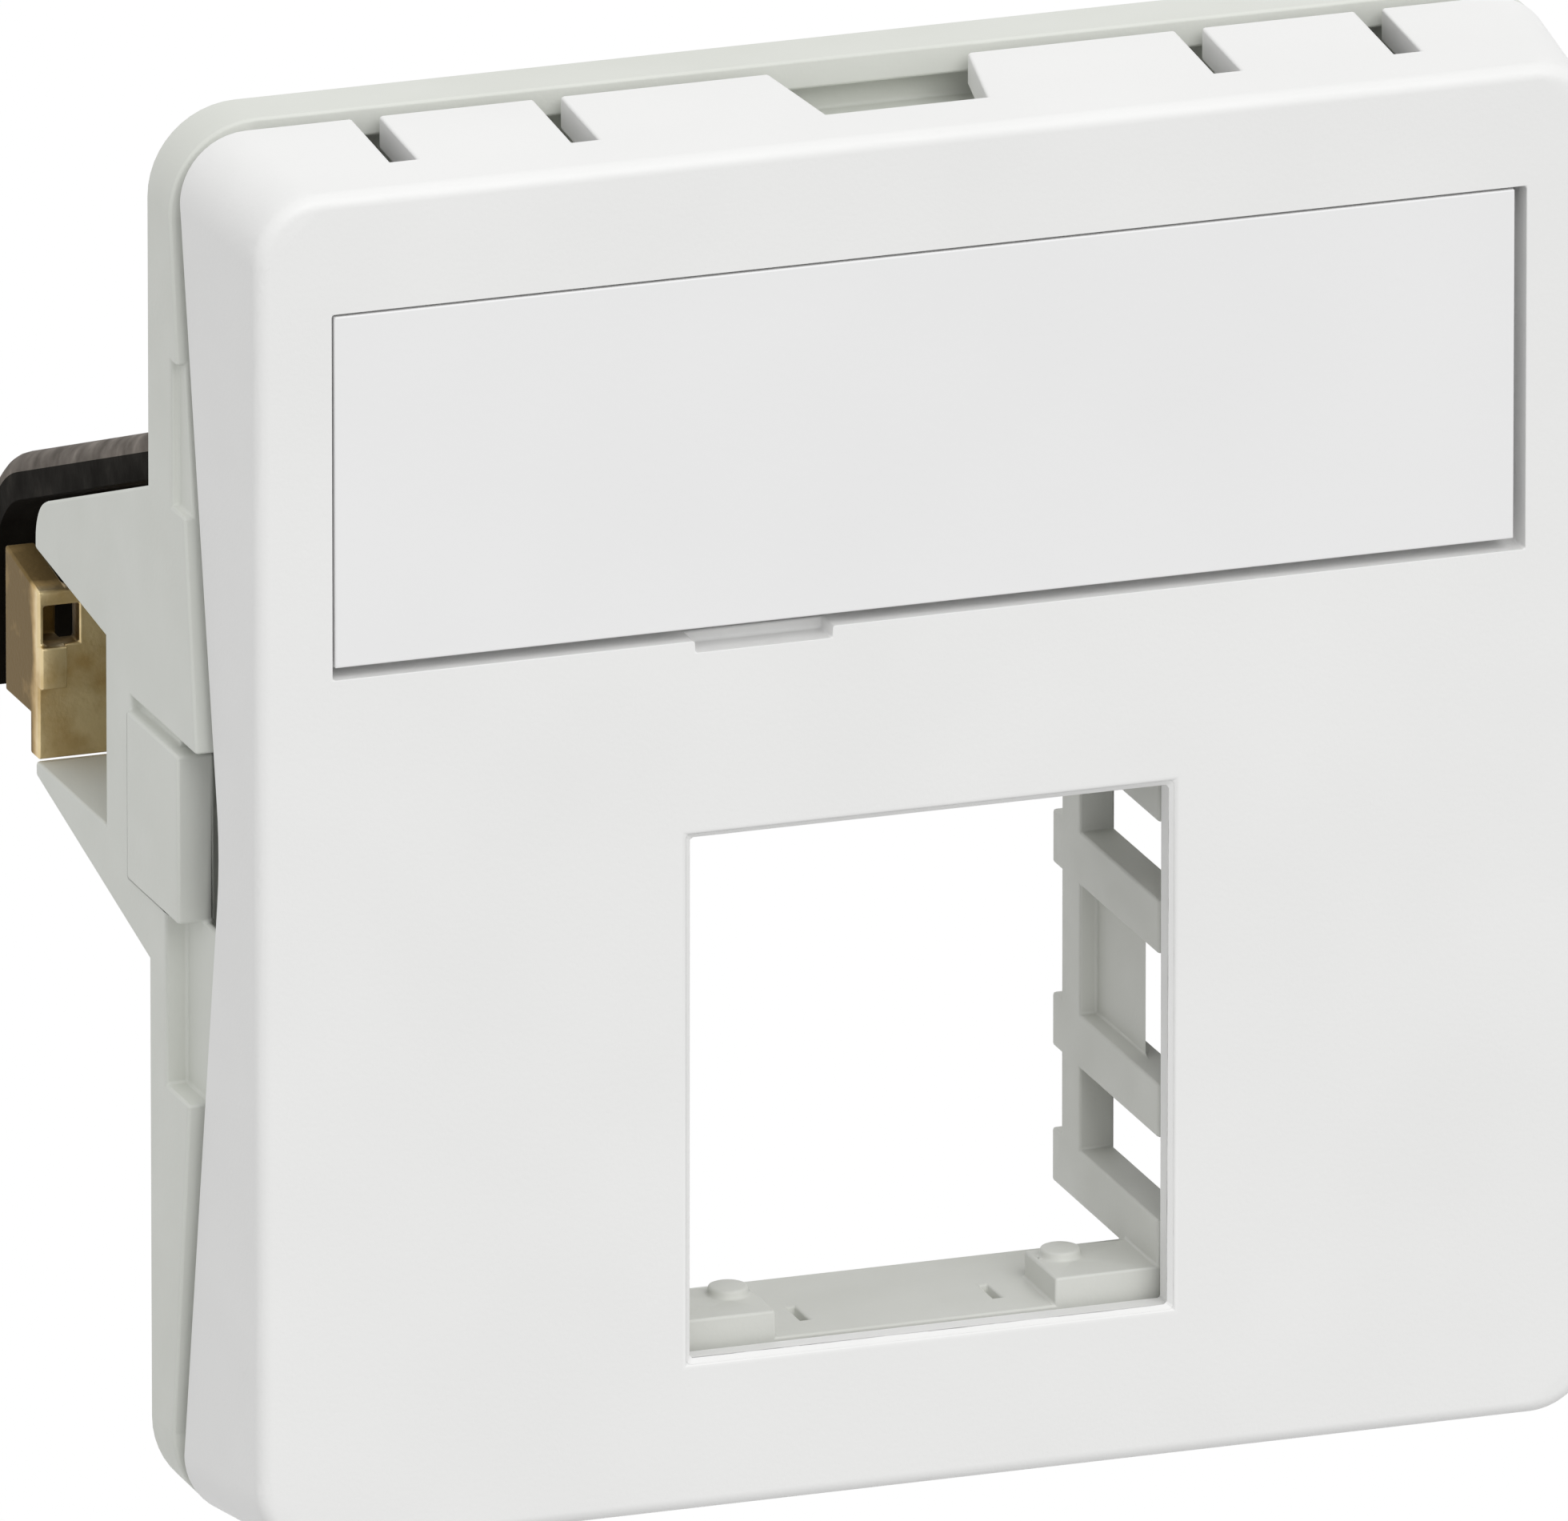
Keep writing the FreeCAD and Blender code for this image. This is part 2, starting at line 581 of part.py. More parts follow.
def mould_label_plate():
    """The label plate, which sits in the upper left of its recess."""
    body = new_body("label_plate")
    shift = "dims.label_shift"
    back = f"{COVER_FRONT} - dims.label_thick"
    sheet = rectangle(body, "LabelFace", "XZ_Plane", back, f"-{LABEL_HALF} - {shift}",
                      f"{LABEL_HALF} - {shift}", f"{LABEL_BOTTOM} + {shift}", f"{LABEL_TOP} + {shift}")
    plate = pad(body, sheet, "dims.label_thick")
    front = -number(COVER_FRONT)
    fillet(body, "FrontEdge", plate, lambda edge: all(near(point.y, front) for point in ends(edge)),
           "dims.label_edge_round")
    across, up = PEG_PLACE
    for name, sign in (("Left", "-1"), ("Right", "1")):
        place = (f"{sign} * {across} - {shift}", f"{up} + {shift}")
        peg = circle(body, name + "Peg", "XZ_Plane", back, place, "dims.peg_diameter")
        pad(body, peg, "dims.peg_length", backwards=True)
    return body


def mould_connector_carrier():
    """Two ribbed side walls, a ledge below and a bridge above, clipped into the base's opening."""
    body = new_body("connector_carrier")
    front = f"-({COVER_FRONT} - dims.cover_wall - dims.carrier_gap)"
    back = "(dims.post_start + dims.post_depth)"
    bridge_low = f"({WINDOW_TOP} + dims.bridge_rise)"
    bridge_high = f"({bridge_low} + dims.bridge_wall)"
    ledge_low = f"({WINDOW_BOTTOM} - dims.ledge_wall)"
    flange_front = "-(dims.floor_thick + dims.flange_thick)"
    left = f"-{CARRIER_OUTER}"

    sheet = rectangle(body, "Bridge", "XY_Plane", bridge_low, left, CARRIER_OUTER, flange_front, back)
    pad(body, sheet, "dims.bridge_wall")
    walls = []
    for sheet in draw_ladder(body, front, back, bridge_high, ledge_low):
        walls.append(pad(body, sheet, "dims.ladder_wall"))
    rib_gap_low = f"({WINDOW_TOP} - dims.middle_rib_drop + dims.rib_height / 2)"
    rib_gap_high = f"({WINDOW_TOP} - dims.upper_rib_drop - dims.rib_height / 2)"
    latch_inner = f"{CARRIER_OUTER} - dims.latch_wall"
    places = [(latch_inner, "dims.latch_start"), (CARRIER_OUTER, "dims.latch_start + dims.latch_slant"),
              (CARRIER_OUTER, "dims.post_start"), (latch_inner, "dims.post_start")]
    sheet = outline(body, "Latch", "XY_Plane", rib_gap_low, places)
    walls.append(pad(body, sheet, f"{rib_gap_high} - {rib_gap_low}"))
    walls += raise_lug(body, front)
    mirrored(body, "LeftWall", walls, "YZ_Plane")

    ledge_back = "-(dims.floor_thick + dims.flange_thick / 2)"
    sheet = rectangle(body, "Ledge", "XY_Plane", ledge_low, left, CARRIER_OUTER, front, ledge_back)
    pad(body, sheet, "dims.ledge_wall")
    slit_front = f"({front} + dims.ledge_slit_margin)"
    for name, middle in (("LeftSlit", "-dims.ledge_slit_place"), ("RightSlit", "dims.ledge_slit_place")):
        sheet = rectangle(body, name, "XY_Plane", WINDOW_BOTTOM, f"{middle} - dims.ledge_slit_width / 2",
                          f"{middle} + dims.ledge_slit_width / 2", slit_front,
                          f"{slit_front} + dims.ledge_slit_length")
        pocket(body, sheet, "dims.ledge_slit_depth")
    # Flanges lie on the front of the base's floor, and necks through the opening end in hooks behind it
    ledge_middle = f"({WINDOW_BOTTOM} - 0.6 * dims.ledge_wall)"
    laps = (("Top", bridge_low, OPENING_TOP, "+", "-"), ("Bottom", ledge_middle, OPENING_BOTTOM, "-", "+"))
    for name, start, edge, outwards, inwards in laps:
        flange_end = f"{edge} {outwards} dims.flange_lap"
        sheet = rectangle(body, name + "Flange", "XZ_Plane", FLOOR, left, CARRIER_OUTER, start, flange_end)
        pad(body, sheet, "dims.flange_thick")
        sheet = rectangle(body, name + "Neck", "XZ_Plane", FLOOR, f"-{HOOK_HALF}", HOOK_HALF, start,
                          f"{edge} {inwards} dims.hook_gap")
        pad(body, sheet, "dims.floor_thick - dims.hook_seat + dims.hook_depth", backwards=True)
        sheet = rectangle(body, name + "Hook", "XZ_Plane", "dims.hook_seat", f"-{HOOK_HALF}", HOOK_HALF,
                          start, f"{edge} {outwards} dims.hook_reach")
        pad(body, sheet, "dims.hook_depth", backwards=True)
    return body


def draw_ladder(body, front, back, bridge_high, ledge_low):
    """Sketches of the right wall: its top rib, three lower ribs, rear post and bottom cheek."""
    half_rib = "dims.rib_height / 2"
    lowest = f"({WINDOW_TOP} - dims.lower_rib_drop)"
    spans = [("TopRib", front, back, f"{WINDOW_TOP} - dims.top_rib_drop", WINDOW_TOP)]
    for name in ("upper", "middle", "lower"):
        centre = f"({WINDOW_TOP} - dims.{name}_rib_drop)"
        spans.append((name.title() + "Rib", front, "dims.rib_back",
                      f"{centre} - {half_rib}", f"{centre} + {half_rib}"))
    spans.append(("Post", "dims.post_start", back, f"{lowest} - {half_rib}", bridge_high))
    spans.append(("Cheek", front, "dims.ledge_cheek_back", ledge_low, lowest))
    return [rectangle(body, name, "YZ_Plane", CARRIER_INNER, *span) for name, *span in spans]


def raise_lug(body, front):
    """A raised block on the ledge's right end, with a round nub on its inner rear corner."""
    inner = f"({CARRIER_INNER} - dims.lug_width)"
    lug_back = f"({front} + dims.lug_length)"
    radius = "dims.lug_nub_diameter / 2"
    sheet = rectangle(body, "Lug", "XY_Plane", WINDOW_BOTTOM, inner, CARRIER_INNER, front, lug_back)
    lug = pad(body, sheet, "dims.lug_height")
    place = (f"{inner} + {radius} + dims.lug_nub_inset", f"{lug_back} - {radius} - dims.lug_nub_inset")
    nub = pad(body, circle(body, "LugNub", "XY_Plane", WINDOW_BOTTOM, place, "dims.lug_nub_diameter"),
              "dims.lug_height + dims.lug_nub_height")
    return [lug, nub]


def handed(side, expression):
    """The expression on the right side, its negative on the left."""
    return expression if side == "right" else f"-({expression})"


def slab_start(side, inner, outer):
    """Where a slab between two distances from the centre starts, for a pad towards +X."""
    return inner if side == "right" else f"-({outer})"


def turn_claw_screw(side):
    body = new_body(f"claw_screw_{side}")
    place = (handed(side, SCREW_PLACE), "dims.screw_height")
    seat = "(dims.floor_thick - dims.head_sink)"
    tail = f"({LEG_BACK} + dims.tail_gap)"
    head = pad(body, circle(body, f"Head_{side}", "XZ_Plane", seat, place, "dims.head_diameter"),
               "dims.head_height")
    front = -number(f"{seat} + dims.head_height")
    fillet(body, f"HeadEdge_{side}", head, lambda edge: all(near(point.y, front) for point in ends(edge)),
           "dims.head_height / 4")
    pad(body, circle(body, f"Shank_{side}", "XZ_Plane", seat, place, "dims.screw_diameter"),
        f"{seat} + {tail}", backwards=True)
    tail_diameter = "dims.screw_diameter + 2 * dims.tail_rim"
    pad(body, circle(body, f"Tail_{side}", "XZ_Plane", f"-{tail}", place, tail_diameter),
        "dims.tail_length", backwards=True)
    half_slot = "dims.slot_width / 2"
    reach = "dims.screw_diameter / 2"
    for name, across, up in (("SlotAcross", reach, half_slot), ("SlotUp", half_slot, reach)):
        sheet = rectangle(body, f"{name}_{side}", "XZ_Plane", f"{seat} + dims.head_height",
                          f"{place[0]} - {across}", f"{place[0]} + {across}",
                          f"{place[1]} - {up}", f"{place[1]} + {up}")
        pocket(body, sheet, "dims.slot_depth")
    return body


def cast_claw_nut(side):
    """The brass claw: a threaded plate with an outer ear, which runs in the bracket's pocket."""
    body = new_body(f"claw_nut_{side}")
    outer = handed(side, HALF)
    inner = handed(side, f"{HALF} - dims.nut_inset")
    shoulder = handed(side, f"{HALF} - dims.bracket_wall - dims.nut_side_gap")
    rest = f"-{NUT_REST}"
    places = [(inner, NUT_BOTTOM), (outer, NUT_BOTTOM), (outer, "dims.nut_outer_top"),
              (shoulder, "dims.nut_outer_top"), (shoulder, "dims.nut_top"), (inner, "dims.nut_top")]
    pad(body, outline(body, f"NutPlate_{side}", "XZ_Plane", rest, places), "dims.nut_plate", backwards=True)
    start = slab_start(side, f"{HALF} - dims.ear_wall", HALF)
    ear_back = f"{NUT_REST} + dims.ear_length"
    places = [(NUT_REST, "dims.ear_bottom"), (ear_back, "dims.ear_bottom"),
              (ear_back, "dims.ear_back_top"), (NUT_REST, "dims.nut_outer_top")]
    pad(body, outline(body, f"Ear_{side}", "YZ_Plane", start, places), "dims.ear_wall")

    place = (handed(side, SCREW_PLACE), "dims.screw_height")
    behind = f"-({NUT_REST} + dims.nut_plate)"
    pad(body, circle(body, f"Boss_{side}", "XZ_Plane", behind, place, "dims.nut_boss_diameter"),
        "dims.nut_boss_length", backwards=True)
    bore = "dims.screw_diameter + 2 * dims.screw_fit"
    pocket(body, circle(body, f"Thread_{side}", "XZ_Plane", rest, place, bore),
           "dims.nut_plate + dims.nut_boss_length")

    pad_inner = handed(side, f"{HALF} - dims.nut_pad_width")
    sheet = rectangle(body, f"GripPad_{side}", "XZ_Plane", rest, pad_inner, outer,
                      "dims.nut_pad_bottom", "dims.nut_pad_top")
    pad(body, sheet, "dims.nut_pad_height")
    recess_outer = handed(side, f"{HALF} - dims.nut_recess_skin")
    recess_inner = handed(side, f"{HALF} - dims.nut_recess_skin - dims.nut_recess_width")
    sheet = rectangle(body, f"GripRecess_{side}", "XZ_Plane", rest, recess_inner, recess_outer,
                      "dims.nut_pad_top", "dims.nut_recess_top")
    pocket(body, sheet, "dims.nut_recess_depth")
    return body


def bend_claw_bow(side):
    """The steel strap: a foot on the floor, an arm over the bracket, and a leg behind the nut."""
    body = new_body(f"claw_bow_{side}")
    foot_front = f"({BOW_FOOT_BACK} - dims.bow_thick)"
    foot_end = f"({arm_top(foot_front)} - dims.bow_foot_length)"
    places = [(foot_front, arm_top(foot_front)), (LEG_BACK, arm_top(LEG_BACK)),
              (LEG_BACK, "dims.bow_leg_bottom"), (LEG_FRONT, "dims.bow_leg_bottom"),
              (LEG_FRONT, arm_bottom(LEG_FRONT)), (BOW_FOOT_BACK, arm_bottom(BOW_FOOT_BACK)),
              (BOW_FOOT_BACK, foot_end), (foot_front, foot_end)]
    sheet = outline(body, f"Strap_{side}", "YZ_Plane", slab_start(side, BOW_INNER, BOW_OUTER), places)
    strap = pad(body, sheet, "dims.bow_width")
    bends = ((1, "OuterBend", "dims.bow_bend + dims.bow_thick"), (4, "InnerBend", "dims.bow_bend"),
             (0, "OuterFootBend", "dims.bow_foot_bend + dims.bow_thick"),
             (5, "InnerFootBend", "dims.bow_foot_bend"))
    for corner, name, radius in bends:
        place = FreeCAD.Vector(0, *[number(expression) for expression in places[corner]])
        strap = fillet(body, f"{name}_{side}", strap, along_x_at(place), radius)

    flag_end = handed(side, f"{BOW_INNER} - dims.bow_flag_width")
    flag_top = "dims.bow_leg_bottom + dims.bow_flag_height"
    sheet = rectangle(body, f"Flag_{side}", "XZ_Plane", f"-{LEG_FRONT}", flag_end, handed(side, BOW_INNER),
                      "dims.bow_leg_bottom", flag_top)
    pad(body, sheet, "dims.bow_thick", backwards=True)
    place = (handed(side, SCREW_PLACE), "dims.screw_height")
    hole = circle(body, f"TailHole_{side}", "XZ_Plane", f"-{LEG_FRONT}", place,
                  "dims.screw_diameter + 2 * dims.screw_fit")
    pocket(body, hole, "dims.bow_thick")
    return body


pieces = [mould_base_frame(), mould_front_cover(), mould_label_plate(), mould_connector_carrier()]
for hand in ("left", "right"):
    pieces += [turn_claw_screw(hand), cast_claw_nut(hand), bend_claw_bow(hand)]
doc.recompute()

failed = [item.Name for item in doc.Objects if {"Invalid", "Error"} & set(item.State)]
if failed:
    raise RuntimeError(f"failed objects: {failed}")
for piece in pieces:
    if piece.Shape.isNull() or not piece.Shape.isValid():
        raise RuntimeError(f"{piece.Label} has no valid shape")
    if len(piece.Shape.Solids) != 1:
        raise RuntimeError(f"{piece.Label} has {len(piece.Shape.Solids)} solids")

os.makedirs("parts", exist_ok=True)
for piece in pieces:
    piece.Shape.exportStep(f"parts/{piece.Label}.step")
    print(piece.Label, "volume", round(piece.Shape.Volume, 2), "mm3")
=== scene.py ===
# %% [markdown]
# # A data outlet insert, dressed over its solids
#
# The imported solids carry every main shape, so this lesson adds what a mould, a press, a lathe and a plating
# bath leave on them: rounded edges, screw threads, fine grain and tarnish. Soft light then shows them.
# Everything is in metres, with +Z up and the front facing -Y.

# %% Load the frame
import math
import bpy
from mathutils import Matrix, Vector


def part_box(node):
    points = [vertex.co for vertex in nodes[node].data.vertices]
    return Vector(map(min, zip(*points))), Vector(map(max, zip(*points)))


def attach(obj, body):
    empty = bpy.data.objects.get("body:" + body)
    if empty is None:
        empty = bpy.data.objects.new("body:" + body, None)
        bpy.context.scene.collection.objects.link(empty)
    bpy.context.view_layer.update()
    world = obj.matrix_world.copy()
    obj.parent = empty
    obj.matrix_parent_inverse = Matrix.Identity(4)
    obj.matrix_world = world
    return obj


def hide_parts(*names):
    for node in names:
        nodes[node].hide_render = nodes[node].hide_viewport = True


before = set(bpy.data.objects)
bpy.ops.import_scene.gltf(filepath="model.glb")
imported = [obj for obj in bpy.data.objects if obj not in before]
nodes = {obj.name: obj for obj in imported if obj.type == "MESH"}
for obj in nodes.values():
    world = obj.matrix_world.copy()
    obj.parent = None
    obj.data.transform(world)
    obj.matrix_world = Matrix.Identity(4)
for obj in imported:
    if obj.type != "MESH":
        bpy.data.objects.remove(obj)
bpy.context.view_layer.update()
MM = 0.001

# %% [markdown]
# ## Camera
#
# The picture's parallel edges stay nearly parallel, so it was taken from far away with a long lens. A camera
# about 1.8 metres off gives that. Setting it by eye would hide small faults of size, so its turn and height
# came from the slopes of the front's edges, and its scale from the front's 45 mm width. The front's middle
# lies right of and below the picture's middle, so the camera looks at a point left of it and above it.

# %% Place the camera
PHOTO_WIDTH = 1960
FOCAL_PIXELS = 70000
PIXELS_PER_MM = 39.549
# From the front's middle to the picture's middle, to the right and upwards.
VIEW_SHIFT_PIXELS = (-183.9, 62.7)
FAR_CLIP = 20
azimuth = math.radians(-19.54)
elevation = math.radians(18.31)
towards_camera = Vector((math.sin(azimuth) * math.cos(elevation),
                         -math.cos(azimuth) * math.cos(elevation), math.sin(elevation)))
turn = (-towards_camera).to_track_quat("-Z", "Y")
front_middle = Vector((0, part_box("front_cover")[0].y, 0))
view_middle = turn @ Vector((*VIEW_SHIFT_PIXELS, 0)) * (MM / PIXELS_PER_MM)

camera = bpy.data.objects.new("Camera", bpy.data.cameras.new("Camera"))
bpy.context.scene.collection.objects.link(camera)
camera.data.lens = FOCAL_PIXELS * camera.data.sensor_width / PHOTO_WIDTH
camera.data.clip_end = FAR_CLIP
camera.rotation_euler = turn.to_euler()
camera.location = front_middle + view_middle + towards_camera * (FOCAL_PIXELS / PIXELS_PER_MM * MM)
bpy.context.scene.camera = camera
bpy.context.scene.view_settings.view_transform = "Standard"
print("camera at", [round(value, 3) for value in camera.location])

# %% [markdown]
# ## Node helpers
#
# Colours are written as they look on a screen and changed to linear light in one place. A node is added
# with its settings and links in one call, which keeps each material short.

# %% Turn screen colours to linear light
def linear(code):
    """Linear red, green, blue and alpha of a screen colour such as #8090A0."""
    screen = [int(code[place:place + 2], 16) / 255 for place in (1, 3, 5)]
    return [c / 12.92 if c <= 0.04045 else ((c + 0.055) / 1.055) ** 2.4 for c in screen] + [1]


print("a mid grey is", round(linear("#808080")[0], 3), "in linear light")

# %% Add nodes and start a material
def add_node(tree, kind, settings=None, links=None):
    """A shader node with its sockets, properties or ramp stops set, and other nodes' outputs linked in."""
    node = tree.nodes.new("ShaderNode" + kind)
    for name, value in (settings or {}).items():
        if name == "stops":
            elements = node.color_ramp.elements
            elements[0].position, elements[1].position = value[0][0], value[-1][0]
            for place, _ in value[1:-1]:
                elements.new(place)
            for element, (_, code) in zip(elements, value):
                element.color = linear(code)
        elif name in node.inputs:
            node.inputs[name].default_value = value
        else:
            setattr(node, name, value)
    for socket, output in (links or {}).items():
        tree.links.new(output, node.inputs[socket])
    return node


def new_material(name, settings):
    """A material with its tree, its shader and the object's own coordinates."""
    material = bpy.data.materials.new(name)
    material.use_nodes = True
    tree = material.node_tree
    shader = tree.nodes["Principled BSDF"]
    for socket, value in settings.items():
        shader.inputs[socket].default_value = value
    place = {"Vector": add_node(tree, "TexCoord").outputs["Object"]}
    return material, tree, shader, place


def link_surface(tree, shader, colour, rough, bump):
    """Colour, roughness and fine relief go into the shader."""
    tree.links.new(colour.outputs["Color"], shader.inputs["Base Color"])
    tree.links.new(rough.outputs["Result"], shader.inputs["Roughness"])
    tree.links.new(bump.outputs["Normal"], shader.inputs["Normal"])


print("node helpers:", add_node.__name__, new_material.__name__, link_surface.__name__)

# %% [markdown]
# ## Moulded plastic
#
# Cover, label, base and cage each come from a mould of their own. The cover's cavity is spark eroded to a
# satin grain of a few hundredths of a millimetre, the label is smoother, and the base and the cage are a
# duller off-white; the cage is painted a shade darker still, for the shade inside the cover. A flat colour
# would look like paint, and a picture of plastic would repeat, so noise does it: slow drifts of colour follow
# the melt, a finer one moves the gloss, and the finest one is the grain. All of them are weak, because a
# moulding is nearly even.

# %% Make the plastics
# Most of a noise lies between these two values.
NOISE_SPAN = {"From Min": 0.3, "From Max": 0.7}
DRIFT_MM = 9.0
SPECKLE_MM = 1.6


def moulded_plastic(name, pale, dark, gloss, grain_mm, grain_depth_mm):
    """Satin plastic: colour drifts between pale and dark, roughness between the two gloss limits."""
    material, tree, shader, place = new_material(name, {"IOR": 1.52, "Specular IOR Level": 0.4})
    drift = add_node(tree, "TexNoise", {"Scale": 1 / (DRIFT_MM * MM), "Detail": 2.0}, place)
    colour = add_node(tree, "ValToRGB", {"stops": ((0.3, dark), (0.7, pale))}, {"Fac": drift.outputs["Fac"]})
    speckle = add_node(tree, "TexNoise", {"Scale": 1 / (SPECKLE_MM * MM), "Detail": 4.0}, place)
    rough = add_node(tree, "MapRange", {**NOISE_SPAN, "To Min": gloss[0], "To Max": gloss[1]},
                     {"Value": speckle.outputs["Fac"]})
    grain = add_node(tree, "TexNoise", {"Scale": 1 / (grain_mm * MM), "Detail": 2.0}, place)
    bump = add_node(tree, "Bump", {"Strength": 0.5, "Distance": grain_depth_mm * MM},
                    {"Height": grain.outputs["Fac"]})
    link_surface(tree, shader, colour, rough, bump)
    return material


# The real grain is too fine to show, so it is drawn about four times as coarse.
# ABS from a spark eroded mould: a bright white with a soft, wide sheen.
cover_plastic = moulded_plastic("satin_moulded_white_abs", "#EFEFEE", "#ECECEB", (0.40, 0.48), 0.16, 0.012)
# ABS from a smoother mould: nearly the same white with a tighter sheen.
label_plastic = moulded_plastic("smooth_moulded_white_abs", "#EFEFEF", "#EDEDED", (0.30, 0.38), 0.25, 0.008)
# Polycarbonate from a coarser mould: a greyish, greenish off-white that looks dull.
frame_plastic = moulded_plastic("matt_moulded_offwhite_pc", "#DDDFD9", "#D7D9D2", (0.48, 0.60), 0.22, 0.015)
# The same polycarbonate, painted a shade darker for the shade that falls on the cage's ribs inside the cover.
cage_plastic_painted_shade = moulded_plastic("offwhite_pc_cage_painted_shade", "#DBDCD7", "#D1D2CC", (0.45, 0.58), 0.20, 0.015)
print("plastics:", cover_plastic.name, label_plastic.name, frame_plastic.name, cage_plastic_painted_shade.name)

# %% [markdown]
# ## Metals
#
# The claw is stamped brass that has dulled to brown in patches of a millimetre or two. The bow is spring
# steel under a black oxide, which looks like a dark, dull coat with brown scuffs rather than like bright
# metal. The screws are zinc plated over fine tool marks. One even tone would look new, and painted stains
# would need an unwrapped mesh, so noise in the object's own space chooses the tone. Scratches, pits and tool
# marks are drawn coarser than on real metal, so that they show.

# %% Make the brass
PATCH_MM = 1.5
SCRATCH_MM = 0.18
SCRATCH_DEPTH_MM = 0.02
# Depths between which the claw's front, painted lighter, turns to the part behind, painted darker for shade,
# and between which its grip pad, painted lighter still, ends.
SHADE_FROM_MM, SHADE_TO_MM = 10.95, 11.6
LIT_PAD_FROM_MM, LIT_PAD_TO_MM = 10.55, 10.75
# What these places add to the noise: more is paler, as painted light, and less is darker, as painted shade.
LIT_FRONT_SHIFT, SHADE_SHIFT, LIT_PAD_SHIFT = 0.18, -0.36, 0.06


def brass_tarnish_and_shade(name, tones):
    """Brass in patches of three tones, painted lighter on its front and grip pad and painted darker behind
    them for shade.
    """
    material, tree, shader, place = new_material(name, {"Metallic": 1.0})
    patches = add_node(tree, "TexNoise", {"Scale": 1 / (PATCH_MM * MM), "Detail": 7.0}, place)
    depth = {"Value": add_node(tree, "SeparateXYZ", links=place).outputs["Y"]}
    painted_shade_behind = add_node(tree, "MapRange", {"From Min": SHADE_FROM_MM * MM, "From Max": SHADE_TO_MM * MM,
                                         "To Min": LIT_FRONT_SHIFT, "To Max": SHADE_SHIFT}, depth)
    painted_light_on_pad = add_node(tree, "MapRange", {"From Min": LIT_PAD_FROM_MM * MM, "From Max": LIT_PAD_TO_MM * MM,
                                       "To Min": LIT_PAD_SHIFT, "To Max": 0.0}, depth)
    painted_light_shift = add_node(tree, "Math", {"operation": "ADD"}, {0: painted_shade_behind.outputs[0], 1: painted_light_on_pad.outputs[0]})
    tarnish_and_painted_light = add_node(tree, "Math", {"operation": "ADD"}, {0: patches.outputs["Fac"], 1: painted_light_shift.outputs[0]})
    colour = add_node(tree, "ValToRGB", {"stops": list(zip((0.2, 0.5, 0.78), tones))},
                      {"Fac": tarnish_and_painted_light.outputs[0]})
    rough = add_node(tree, "MapRange", {**NOISE_SPAN, "To Min": 0.58, "To Max": 0.36},
                     {"Value": tarnish_and_painted_light.outputs[0]})
    scratches = add_node(tree, "TexNoise", {"Scale": 1 / (SCRATCH_MM * MM), "Detail": 3.0}, place)
    bump = add_node(tree, "Bump", {"Strength": 0.6, "Distance": SCRATCH_DEPTH_MM * MM},
                    {"Height": scratches.outputs["Fac"]})
    link_surface(tree, shader, colour, rough, bump)
    return material


# Stamped brass, dulled by handling in brown and golden patches with a broken gleam, and painted darker behind
# its front for shade.
claw_brass = brass_tarnish_and_shade("stamped_brass_tarnish_and_shade", ("#715D37", "#B69A67", "#DCC79A"))
# Tumbled edges of the same brass, a little paler: partly rubbed brass, partly a painted highlight, so that
# they catch the eye as thin lines.
edge_brass_rubbed_and_glint = brass_tarnish_and_shade("brass_edge_rubbed_and_painted_glint", ("#76623B", "#BBA06E", "#DDC99D"))
print("brass:", claw_brass.name, edge_brass_rubbed_and_glint.name)

# %% Make the spring steel
SCUFF_MM = 1.1
PIT_MM = 0.2
PIT_DEPTH_MM = 0.015


def scuffed_spring_steel(name, tones, shine):
    """Spring steel whose scuffs go through three tones: oxide black, or paler for the painted highlight."""
    material, tree, shader, place = new_material(name, {"Specular IOR Level": shine})
    scuffs = add_node(tree, "TexNoise", {"Scale": 1 / (SCUFF_MM * MM), "Detail": 5.0}, place)
    colour = add_node(tree, "ValToRGB", {"stops": list(zip((0.35, 0.6, 0.8), tones))},
                      {"Fac": scuffs.outputs["Fac"]})
    rough = add_node(tree, "MapRange", {**NOISE_SPAN, "To Min": 0.75, "To Max": 0.6},
                     {"Value": scuffs.outputs["Fac"]})
    pits = add_node(tree, "TexNoise", {"Scale": 1 / (PIT_MM * MM), "Detail": 3.0}, place)
    bump = add_node(tree, "Bump", {"Strength": 0.5, "Distance": PIT_DEPTH_MM * MM},
                    {"Height": pits.outputs["Fac"]})
    link_surface(tree, shader, colour, rough, bump)
    return material


# Oxide-black spring steel: nearly black, with hardly any sheen.
bow_steel = scuffed_spring_steel("blackened_spring_steel", ("#100D09", "#16130E", "#241F18"), 0.03)
# A painted highlight for the rolled edge, where it reflects the lamp: a warm grey with paler scuffs.
steel_painted_highlight = scuffed_spring_steel("spring_steel_painted_highlight_band", ("#5D5751", "#78716A", "#958D85"), 0.06)
print("spring steel:", bow_steel.name, steel_painted_highlight.name)

# %% Make the zinc plate
CLOUD_MM = 1.5
TOOL_MARK_MM = 0.12
TOOL_MARK_DEPTH_MM = 0.008


